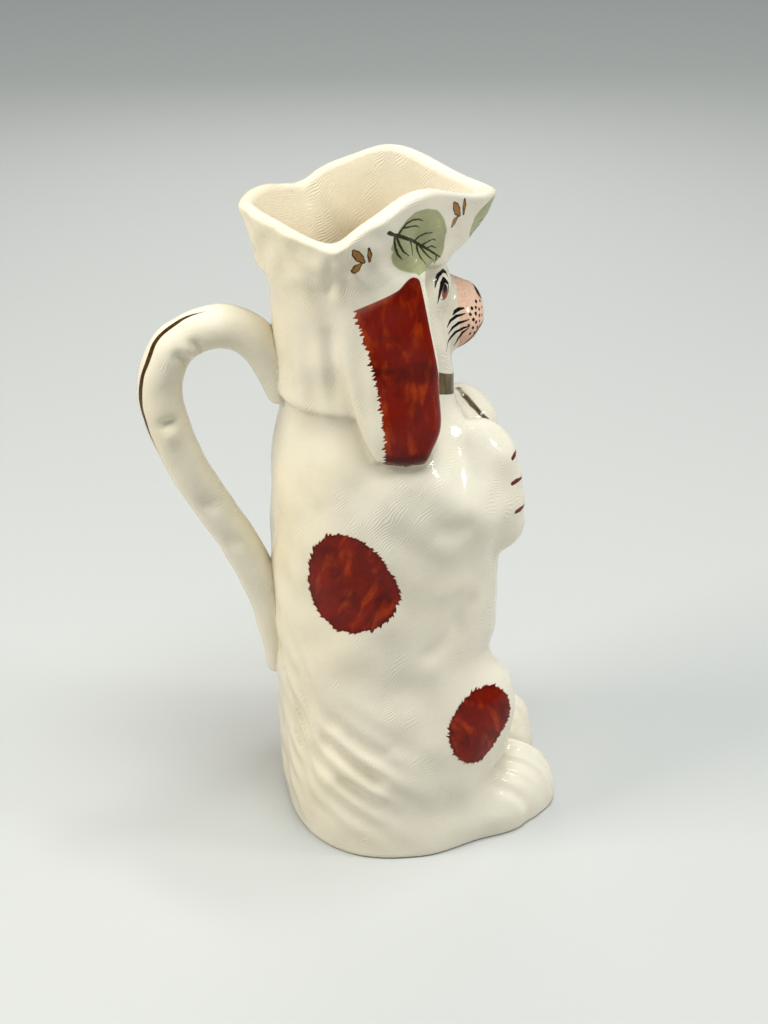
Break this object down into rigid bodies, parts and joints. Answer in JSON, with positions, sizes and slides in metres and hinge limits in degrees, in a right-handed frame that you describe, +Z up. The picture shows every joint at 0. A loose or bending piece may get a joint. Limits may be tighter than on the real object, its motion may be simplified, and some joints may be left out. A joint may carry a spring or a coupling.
{
  "type": "dog pitcher",
  "caption": "Glazed earthenware jug shaped as a begging spaniel in a three-cornered hat, open at the hat, with a loop handle at its back.",
  "frame": {"origin": "middle of the flat underside, on the plane it stands on", "axes": "+Z up; the dog faces -Y and its handle is towards +Y; +X is the dog's left"},
  "size_m": [0.107, 0.159, 0.2644],
  "materials": {
    "glaze": "ivory glaze with iron-red, green, gold, pink and black brushwork under a high gloss"
  },
  "bodies": {
    "root": {"pitcher": "glaze"}
  },
  "joints": []
}
